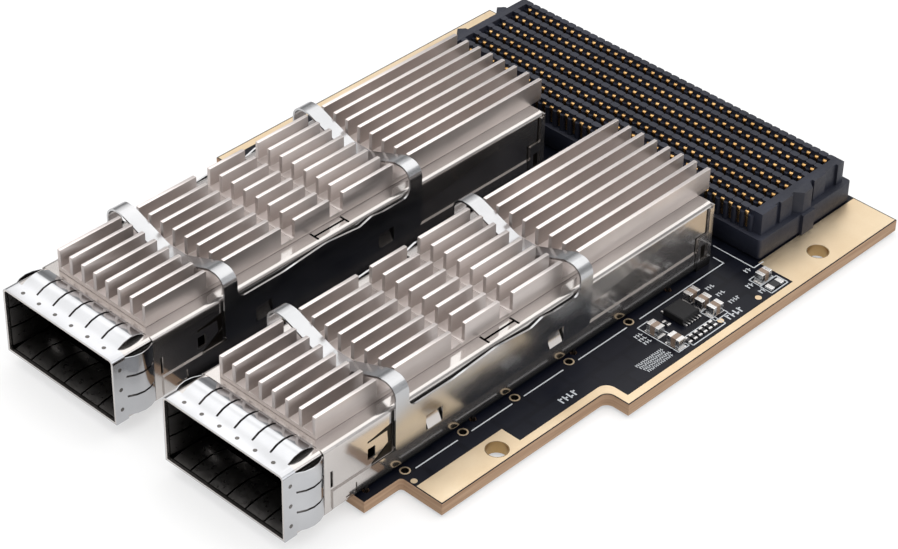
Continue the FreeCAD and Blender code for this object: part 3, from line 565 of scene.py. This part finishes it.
hole_rims = [circle(x, y, HOLE_RIM) for x, y in MOUNT_HOLES]
gold = Builder()
gold.plate([gold_outline] + hole_rims, BOARD_TOP, FIELD_HIGH)
gold.plate([mirrored(gold_outline)] + [mirrored(rim) for rim in hole_rims], BOARD_TOP, FIELD_HIGH)
for x, y, radius in GOLD_DOTS:
    gold.plate([circle(x, y, radius, DOT_SIDES)], BOARD_TOP, FIELD_HIGH)
gold.make("gold_fields", "board", "gold")


# Plated rings along each cage, and the plated walls of the ring holes and mounting holes

RING_OFFSET = 10.45
RING_YS = [MOUTH_Y + place for place in (17.2, 26.4, 34.9, 44.1, 54.6)]
RING_RADII = (0.65, 0.47)
RING_WALL_RADII = (0.5, 0.42)
MOUNT_WALL_RADII = (1.35, 1.3)
PROUD = 0.01
RING_SIDES = 32

rings = Builder()
ring_barrels = Builder()
for centre in CAGES.values():
    for y in RING_YS:
        rings.tube(centre + RING_OFFSET, y, *RING_RADII, BOARD_TOP, FIELD_HIGH + PROUD, RING_SIDES)
        ring_barrels.tube(centre + RING_OFFSET, y, *RING_WALL_RADII, 0.0, BOARD_TOP, RING_SIDES)
rings.make("ring_plating", "board", "gold")
barrels = Builder()
for x, y in MOUNT_HOLES:
    for side in (-1, 1):
        barrels.tube(side * x, y, *MOUNT_WALL_RADII, 0.0, BOARD_TOP + PROUD)
barrels.make("hole_plating", "board", "barrel_gold")
# Painted shade: the walls of the ring holes are near black.
ring_barrels.make("ring_barrels", "board", "hole_painted_shade")


# White print on the board: lines along the right cage, frames round small parts and rows of plain strokes

PRINT_HIGH = BOARD_TOP + 0.035
LINE_WIDTH = 0.14
CAGE_LINE_X = CAGES["right"] + 11.0
CAGE_LINE_SPANS = [(-28.5, -21.8), (-19.6, -12.9), (-11.0, -4.3), (-1.7, 6.8), (9.1, 24.7)]
CAGE_LINE_TURN = (23.4, 24.65)
CORNER_LINE = [(21.9, 26.5), (28.25, 26.5), (28.25, 28.3)]
# Each frame is x from and to, y from and to, and the width of its line.
PART_FRAMES = [
    (31.0, 32.7, 9.8, 15.7, 0.12),
    (31.1, 32.9, 24.1, 27.2, 0.13),
    (29.35, 31.0, 24.2, 26.8, 0.12),
    (26.0, 32.35, 7.6, 9.45, 0.12),
    (29.3, 31.6, 15.2, 17.5, 0.12),
]
# Each row of strokes is x, the y it starts at, how many strokes and their size.
STROKE_ROWS = [
    (26.95, 19.2, 3, 0.6), (28.6, 19.2, 3, 0.6), (30.5, 19.2, 4, 0.6),
    (28.0, 25.2, 2, 0.7), (30.1, 23.0, 2, 0.75), (31.8, 23.3, 2, 0.7),
    (32.2, 16.7, 4, 0.95), (28.65, -8.7, 4, 0.95),
    (27.0, 6.1, 3, 0.55), (27.75, 6.0, 3, 0.55), (28.5, 6.0, 3, 0.55),
]
BLOCK_PLACE = (30.6, 2.1)
BLOCK_STEP = (0.5, 0.12)
BLOCK_ROWS = 4
BLOCK_STROKES = 15
BLOCK_SIZE = 0.42
# Shares of the size of a stroke row.
STROKE_WIDTH = 0.2
STROKE_PITCH = 0.75
FOOT_SHIFT = 0.25
FOOT_LENGTH = 0.42

silk = Builder()


def stroke(x0, y0, x1, y1, width):
    silk.line(x0, y0, x1, y1, width, BOARD_TOP, PRINT_HIGH)


def stroke_row(x, y, count, size):
    """A row of small crossed strokes along +Y, each with a short foot."""
    width = size * STROKE_WIDTH
    for i in range(count):
        at = y + i * size * STROKE_PITCH
        foot = x + (i % 3 - 1) * size * FOOT_SHIFT
        stroke(x - size / 2, at, x + size / 2, at, width)
        stroke(foot, at, foot, at + size * FOOT_LENGTH, width)


for y0, y1 in CAGE_LINE_SPANS:
    stroke(CAGE_LINE_X, y0, CAGE_LINE_X, y1, LINE_WIDTH)
stroke(*CAGE_LINE_TURN, CAGE_LINE_X, CAGE_LINE_TURN[1], LINE_WIDTH)
for start, end in zip(CORNER_LINE, CORNER_LINE[1:]):
    stroke(*start, *end, LINE_WIDTH)
for x0, x1, y0, y1, width in PART_FRAMES:
    outline = rectangle(x0, x1, y0, y1)
    for i, start in enumerate(outline):
        stroke(*start, *outline[(i + 1) % len(outline)], width)
for row in STROKE_ROWS:
    stroke_row(*row)
for row in range(BLOCK_ROWS):
    stroke_row(BLOCK_PLACE[0] + row * BLOCK_STEP[0], BLOCK_PLACE[1] + row * BLOCK_STEP[1],
               BLOCK_STROKES - row % 2, BLOCK_SIZE)
silk.make("printed_marks", "board", "silk")


# Solder pads under the capacitors, and the tinned ends of capacitors and resistors

PAD_SIDE = 0.075
PAD_END = 0.2
CAPACITOR_END = 0.31
RESISTOR_END = 0.26
TIN_THICKNESS = 0.025
TIN_ROUNDING = 0.05


def loose_boxes(node):
    """Lowest and highest corner of each separate solid in a node, in millimetres."""
    mesh = bmesh.new()
    mesh.from_mesh(NODES[node].data)
    bmesh.ops.remove_doubles(mesh, verts=mesh.verts, dist=WELD_DISTANCE)
    boxes = []
    seen = set()
    for vertex in mesh.verts:
        if vertex in seen:
            continue
        group = [vertex]
        seen.add(vertex)
        for item in group:
            for link_edge in item.link_edges:
                other = link_edge.other_vert(item)
                if other not in seen:
                    seen.add(other)
                    group.append(other)
        boxes.append(([min(v.co[i] for v in group) / MM for i in range(3)],
                      [max(v.co[i] for v in group) / MM for i in range(3)]))
    mesh.free()
    return boxes


def lies_along_y(low, high):
    return high[1] - low[1] > high[0] - low[0]


def pad(builder, low, high):
    """Pad under a block, standing out more at the block's ends than at its sides."""
    grow_x, grow_y = (PAD_SIDE, PAD_END) if lies_along_y(low, high) else (PAD_END, PAD_SIDE)
    builder.box(low[0] - grow_x, high[0] + grow_x, low[1] - grow_y, high[1] + grow_y, BOARD_TOP, FIELD_HIGH)


def end_caps(builder, low, high, share):
    """Two tinned caps over the ends of a block, each over a share of its longer side."""
    x0, y0, z0 = low
    x1, y1, z1 = high
    tin = TIN_THICKNESS
    if lies_along_y(low, high):
        cap = (y1 - y0) * share
        spans = [(x0 - tin, x1 + tin, y0 - tin, y0 + cap), (x0 - tin, x1 + tin, y1 - cap, y1 + tin)]
    else:
        cap = (x1 - x0) * share
        spans = [(x0 - tin, x0 + cap, y0 - tin, y1 + tin), (x1 - cap, x1 + tin, y0 - tin, y1 + tin)]
    for span in spans:
        builder.box(*span, z0, z1 + tin)


pads = Builder()
caps = Builder()
for low, high in loose_boxes("ceramic_capacitors"):
    pad(pads, low, high)
    end_caps(caps, low, high, CAPACITOR_END)
for low, high in loose_boxes("chip_resistors"):
    end_caps(caps, low, high, RESISTOR_END)
pads.make("solder_pads", "solder_tin")
round_edges(caps.make("tinned_ends", "solder_tin"), TIN_ROUNDING)


# Teeth along the connector's ribs: half width, half depth, foot and top above the board

LOWER_TOOTH = (0.37, 0.86, 2.0, 5.3)
UPPER_TOOTH = (0.67, 0.44, 5.2, 5.98)
TOOTH_BEND = 0.9
TOOTH_BEND_STEPS = 3
TOOTH_ROUNDING = 0.1
rib_ys = [CONNECTOR_Y + (i - (RIBS - 1) / 2) * RIB_PITCH for i in range(RIBS)]


def tooth(builder, x, y, half_x, half_y, foot, top):
    bend = TOOTH_BEND * min(half_x, half_y)
    outline = rectangle(x - half_x, x + half_x, y - half_y, y + half_y)
    outline = rounded([(*corner, bend) for corner in outline], TOOTH_BEND_STEPS)
    builder.plate([outline], BOARD_TOP + foot, BOARD_TOP + top)


teeth = Builder()
for y in rib_ys:
    for i in range(COLUMNS + 1):
        for size in (LOWER_TOOTH, UPPER_TOOTH):
            tooth(teeth, (i - COLUMNS / 2) * COLUMN_PITCH, y, *size)
round_edges(teeth.make("rib_teeth", "connector_plastic", smooth=True), TOOTH_ROUNDING, sharper_than=60)


# Gold blades between the teeth: the side view of a blade is its distance from the rib and its height

BLADE_PROFILE = [(0.02, 3.2), (0.06, 4.4), (0.22, 4.95), (0.3, 5.2), (0.24, 5.42), (0.1, 5.56), (0.02, 5.58)]
BLADE_HALF = 0.25
BLADE_CROWN = 0.06
BLADE_CROWN_SHARE = 0.6
RIB_FACE = 0.4


def blade(builder, x, face, side):
    """A curved contact with a rounded tip and a raised middle, standing against the rib's face."""
    crown = BLADE_HALF * BLADE_CROWN_SHARE
    section = ((-BLADE_HALF, 0.0), (-crown, BLADE_CROWN), (crown, BLADE_CROWN), (BLADE_HALF, 0.0))
    points = []
    for out, z in BLADE_PROFILE:
        for across, rise in section:
            points.append((x + across, face + side * (out + rise), BOARD_TOP + z))
    for out, z in BLADE_PROFILE:
        points.append((x - BLADE_HALF, face, BOARD_TOP + z))
        points.append((x + BLADE_HALF, face, BOARD_TOP + z))
    count = len(BLADE_PROFILE)
    faces = []
    for i in range(count - 1):
        for k in range(3):
            a = i * 4 + k
            faces.append((a, a + 1, a + 5, a + 4))
        rear = count * 4 + i * 2
        faces.append((i * 4, i * 4 + 4, rear + 2, rear))
        faces.append((i * 4 + 3, rear + 1, rear + 3, i * 4 + 7))
        faces.append((rear, rear + 2, rear + 3, rear + 1))
    faces.append((0, count * 4, count * 4 + 1, 3, 2, 1))
    top = (count - 1) * 4
    faces.append((top, top + 1, top + 2, top + 3, count * 6 - 1, count * 6 - 2))
    builder.add(points, faces)


blades = Builder()
for y in rib_ys:
    for side in (-1, 1):
        for i in range(COLUMNS):
            blade(blades, (i - (COLUMNS - 1) / 2) * COLUMN_PITCH, y + side * RIB_FACE, side)
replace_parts(blades.make("contact_blades", "contact_gold", smooth=True), "mezzanine_connector_contacts")


# Spot welds on the top and the right side of each collar

WELD_RADIUS = 0.26
WELD_SIDES = 16
WELD_HEIGHT = 0.012
WELD_Y = MOUTH_Y + 0.95
COLLAR_HALF = 9.52
COLLAR_TOP = BOARD_TOP + 9.02
COLLAR_MIDDLE = BOARD_TOP + 4.46
TOP_WELDS = 6
TOP_WELD_PITCH = 2.79
SIDE_WELDS = 3
SIDE_WELD_PITCH = 2.8

for side, centre in CAGES.items():
    welds = Builder()
    rim = circle(0, 0, WELD_RADIUS, WELD_SIDES)
    top_span = (COLLAR_TOP, COLLAR_TOP + WELD_HEIGHT)
    side_span = (centre + COLLAR_HALF, centre + COLLAR_HALF + WELD_HEIGHT)
    for i in range(TOP_WELDS):
        x = centre + (i - (TOP_WELDS - 1) / 2) * TOP_WELD_PITCH
        welds.prism(*([(x + a, WELD_Y + b, z) for a, b in rim] for z in top_span))
    for i in range(SIDE_WELDS):
        z = COLLAR_MIDDLE + (i - (SIDE_WELDS - 1) / 2) * SIDE_WELD_PITCH
        welds.prism(*([(x, WELD_Y + a, z + b) for a, b in rim] for x in side_span))
    welds.make(side + "_spot_welds", "collar_metal", "shade")


# Painted shade: thin dark plates over the openings round the latch tongues and the seams round the side tabs
# of the rear covers

# Each outline is (y, z) from the mouth and from the top of the board.
LATCH_SLOT_SHADE = [
    (12.3, 6.33), (15.25, 6.45), (15.4, 4.75), (15.98, 5.1), (15.98, 7.2), (15.0, 6.82), (12.3, 6.58),
]
LATCH_GAP_SHADE = [(13.0, 3.06), (15.98, 3.06), (15.98, 4.85)]
COVER_SEAM_SHADES = [
    rectangle(67.22, 67.45, 3.0, 5.1),
    rectangle(67.22, 69.3, 4.94, 5.14),
    rectangle(69.04, 69.3, 4.94, 8.5),
    rectangle(68.15, 69.25, 1.4, 3.5),
]
PAN_SEAM_SHADE = rectangle(67.2, 67.38, 0.95, 3.0)
SHADE_PLATE_THICKNESS = 0.012


def wall_patches(name, centre, patches):
    """Thin plates of painted shade on both side walls of a cage, each given as the wall's half width and an
    outline.
    """
    builder = Builder()
    for wall in (-1, 1):
        for half, outline in patches:
            builder.prism(*([(centre + wall * x, MOUTH_Y + y, BOARD_TOP + z) for y, z in outline]
                            for x in (half, half + SHADE_PLATE_THICKNESS)))
    builder.make(name, "cage_metal", "hole_painted_shade")


for side, centre in CAGES.items():
    wall_patches(side + "_latch_relief", centre, [(CAGE_HALF, LATCH_SLOT_SHADE), (CAGE_HALF, LATCH_GAP_SHADE)])
for side, centre in CAGES.items():
    seams = [(CAGE_HALF, seam) for seam in COVER_SEAM_SHADES]
    wall_patches(side + "_cover_seams", centre, seams + [(PAN_HALF, PAN_SEAM_SHADE)])


# Spring fingers inside each mouth, on its floor, roof and walls

FINGER_START = MOUTH_Y + 0.5
FINGER_LENGTH = 5.2
FINGER_THICKNESS = 0.05
FINGER_LIFT = 0.02
FINGER_STEPS = 8
FLOOR_FINGERS = 6
FLOOR_FINGER_PITCH = 2.92
FLOOR_FINGER_WIDTH = 2.68
FLOOR_FINGER_RISE = 0.35
FLOOR_FINGER_X = -8.7
FLOOR_Z = BOARD_TOP + 0.2
ROOF_Z = BOARD_TOP + 8.72
WALL_FINGERS = 3
WALL_FINGER_PITCH = 2.75
WALL_FINGER_WIDTH = 2.5
WALL_FINGER_RISE = 0.3
WALL_FINGER_Z = BOARD_TOP + 0.55
WALL_HALF = 9.22


def bowed_strip(builder, corner, across, inward, width, rise):
    """Thin strip along +Y that bows inwards between its two ends."""
    points = []
    for i in range(FINGER_STEPS + 1):
        t = i / FINGER_STEPS
        along = (0, FINGER_LENGTH * t, 0)
        lift = FINGER_LIFT + 4 * rise * t * (1 - t)
        for side in (0.0, width):
            for height in (lift, lift + FINGER_THICKNESS):
                points.append(tuple(
                    corner[k] + along[k] + across[k] * side + inward[k] * height for k in range(3)))
    faces = [(0, 1, 3, 2)]
    for i in range(FINGER_STEPS):
        a = i * 4
        for p, q in ((0, 1), (1, 3), (3, 2), (2, 0)):
            faces.append((a + p, a + q, a + 4 + q, a + 4 + p))
    last = FINGER_STEPS * 4
    faces.append((last, last + 1, last + 3, last + 2))
    builder.add(points, faces)


for side, centre in CAGES.items():
    fingers = Builder()
    for i in range(FLOOR_FINGERS):
        x = centre + FLOOR_FINGER_X + i * FLOOR_FINGER_PITCH
        for z, inward in ((FLOOR_Z, (0, 0, 1)), (ROOF_Z, (0, 0, -1))):
            corner = (x, FINGER_START, z)
            bowed_strip(fingers, corner, (1, 0, 0), inward, FLOOR_FINGER_WIDTH, FLOOR_FINGER_RISE)
    for i in range(WALL_FINGERS):
        z = WALL_FINGER_Z + i * WALL_FINGER_PITCH
        for wall in (-1, 1):
            corner = (centre + wall * WALL_HALF, FINGER_START, z)
            bowed_strip(fingers, corner, (0, 0, 1), (-wall, 0, 0), WALL_FINGER_WIDTH, WALL_FINGER_RISE)
    # The fingers are drawn in darkened nickel, painted shade.
    fingers.make(side + "_inner_fingers", "cage_metal", "inner_metal_painted_shade", smooth=True)


# Floor, sky and lights, in metres

FLOOR_REACH = 3
FLOOR_DROP = 0.0004
FLOOR_GLOW = 0.52
SKY_BELOW = 0.75
SKY_ABOVE = 0.9
SKY_BLUE = 1.01
SKY_TONES = [
    (0.12, 0.5), (0.34, 0.3), (0.5, 0.42), (0.6, 0.66), (0.69, 1.0),
    (0.73, 0.95), (0.755, 0.62), (0.785, 0.62), (0.81, 1.0), (0.88, 0.8),
]
# Each light is its name, place, side length, power and colour.
LIGHTS = [
    ("overhead", (-0.05, 0.12, 0.7), 1.2, 5.0, (1.0, 0.99, 0.97)),
    ("front_left", (-0.45, -0.5, 0.35), 0.5, 1.2, (1.0, 0.98, 0.95)),
    ("right", (0.6, 0.1, 0.35), 0.5, 1.2, (0.97, 0.98, 1.0)),
]


def pale_floor():
    mesh = bpy.data.meshes.new("floor")
    reach = FLOOR_REACH
    mesh.from_pydata([(-reach, -reach, 0), (reach, -reach, 0), (reach, reach, 0), (-reach, reach, 0)], [],
                     [(0, 1, 2, 3)])
    floor = bpy.data.objects.new("floor", mesh)
    floor.location = (0, 0, -FLOOR_DROP)
    bpy.context.scene.collection.objects.link(floor)
    finish = surface("pale_floor", (0.42, 0.42, 0.42), (0.44, 0.44, 0.44),
                     rough=(0.6, 0.7), grain=200.0, blotch=3.0, relief=0.0, shine=0.1)
    glow = finish.node_tree.nodes["Principled BSDF"]
    glow.inputs["Emission Color"].default_value = (1.0, 1.0, 1.0, 1.0)
    glow.inputs["Emission Strength"].default_value = FLOOR_GLOW
    floor.data.materials.append(finish)
    return floor


def studio_sky():
    """Grey sky with bright and dark bands by height, which the metal mirrors."""
    world = bpy.data.worlds.new("studio")
    world.use_nodes = True
    tree = world.node_tree
    background = tree.nodes["Background"]
    background.inputs["Strength"].default_value = 1.0
    bands = tree.nodes.new("ShaderNodeValToRGB")
    link(tree, axes(tree, "ShaderNodeTexCoord", "Generated")["Z"], bands.inputs["Fac"])
    link(tree, bands.outputs["Color"], background.inputs["Color"])
    ramp = bands.color_ramp
    for stop, place, tone in ((ramp.elements[0], 0.0, SKY_BELOW), (ramp.elements[1], 1.0, SKY_ABOVE)):
        stop.position = place
        stop.color = (tone, tone, tone, 1)
    for place, tone in SKY_TONES:
        stop = ramp.elements.new(place)
        stop.color = (tone, tone, tone * SKY_BLUE, 1)
    return world


def square_light(name, place, size, power, colour):
    """Square light that looks at the origin."""
    data = bpy.data.lights.new(name, "AREA")
    data.shape = "RECTANGLE"
    data.size = size
    data.size_y = size
    data.energy = power
    data.color = colour
    obj = bpy.data.objects.new(name, data)
    obj.location = place
    obj.rotation_euler = (-Vector(place)).to_track_quat("-Z", "Y").to_euler()
    bpy.context.scene.collection.objects.link(obj)


pale_floor()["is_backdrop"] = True
bpy.context.scene.world = studio_sky()
for light in LIGHTS:
    square_light(*light)


# Camera: its place in metres and the directions in which the picture's right, bottom and depth point

CAMERA_PLACE = Vector((0.1850009, -0.1946569, 0.2028597))
PICTURE_RIGHT = Vector((0.72087107, 0.69285327, 0.01729877))
PICTURE_DOWN = Vector((0.42815741, -0.42556659, -0.79722915))
PICTURE_AHEAD = Vector((-0.54500104, 0.58210602, -0.6034289))
FOCAL_PIXELS = 2784.377
PICTURE_WIDTH = 898
SENSOR_WIDTH = 36.0

camera_data = bpy.data.cameras.new("camera")
camera_data.sensor_width = SENSOR_WIDTH
camera_data.sensor_fit = "HORIZONTAL"
camera_data.lens = FOCAL_PIXELS / PICTURE_WIDTH * SENSOR_WIDTH
camera_data.clip_start = 0.01
camera_data.clip_end = 20.0
camera = bpy.data.objects.new("camera", camera_data)
pose = Matrix((PICTURE_RIGHT, -PICTURE_DOWN, -PICTURE_AHEAD)).transposed().to_4x4()
pose.translation = CAMERA_PLACE
camera.matrix_world = pose
bpy.context.scene.collection.objects.link(camera)
bpy.context.scene.camera = camera

bpy.context.scene.view_settings.view_transform = "Standard"

low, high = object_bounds()
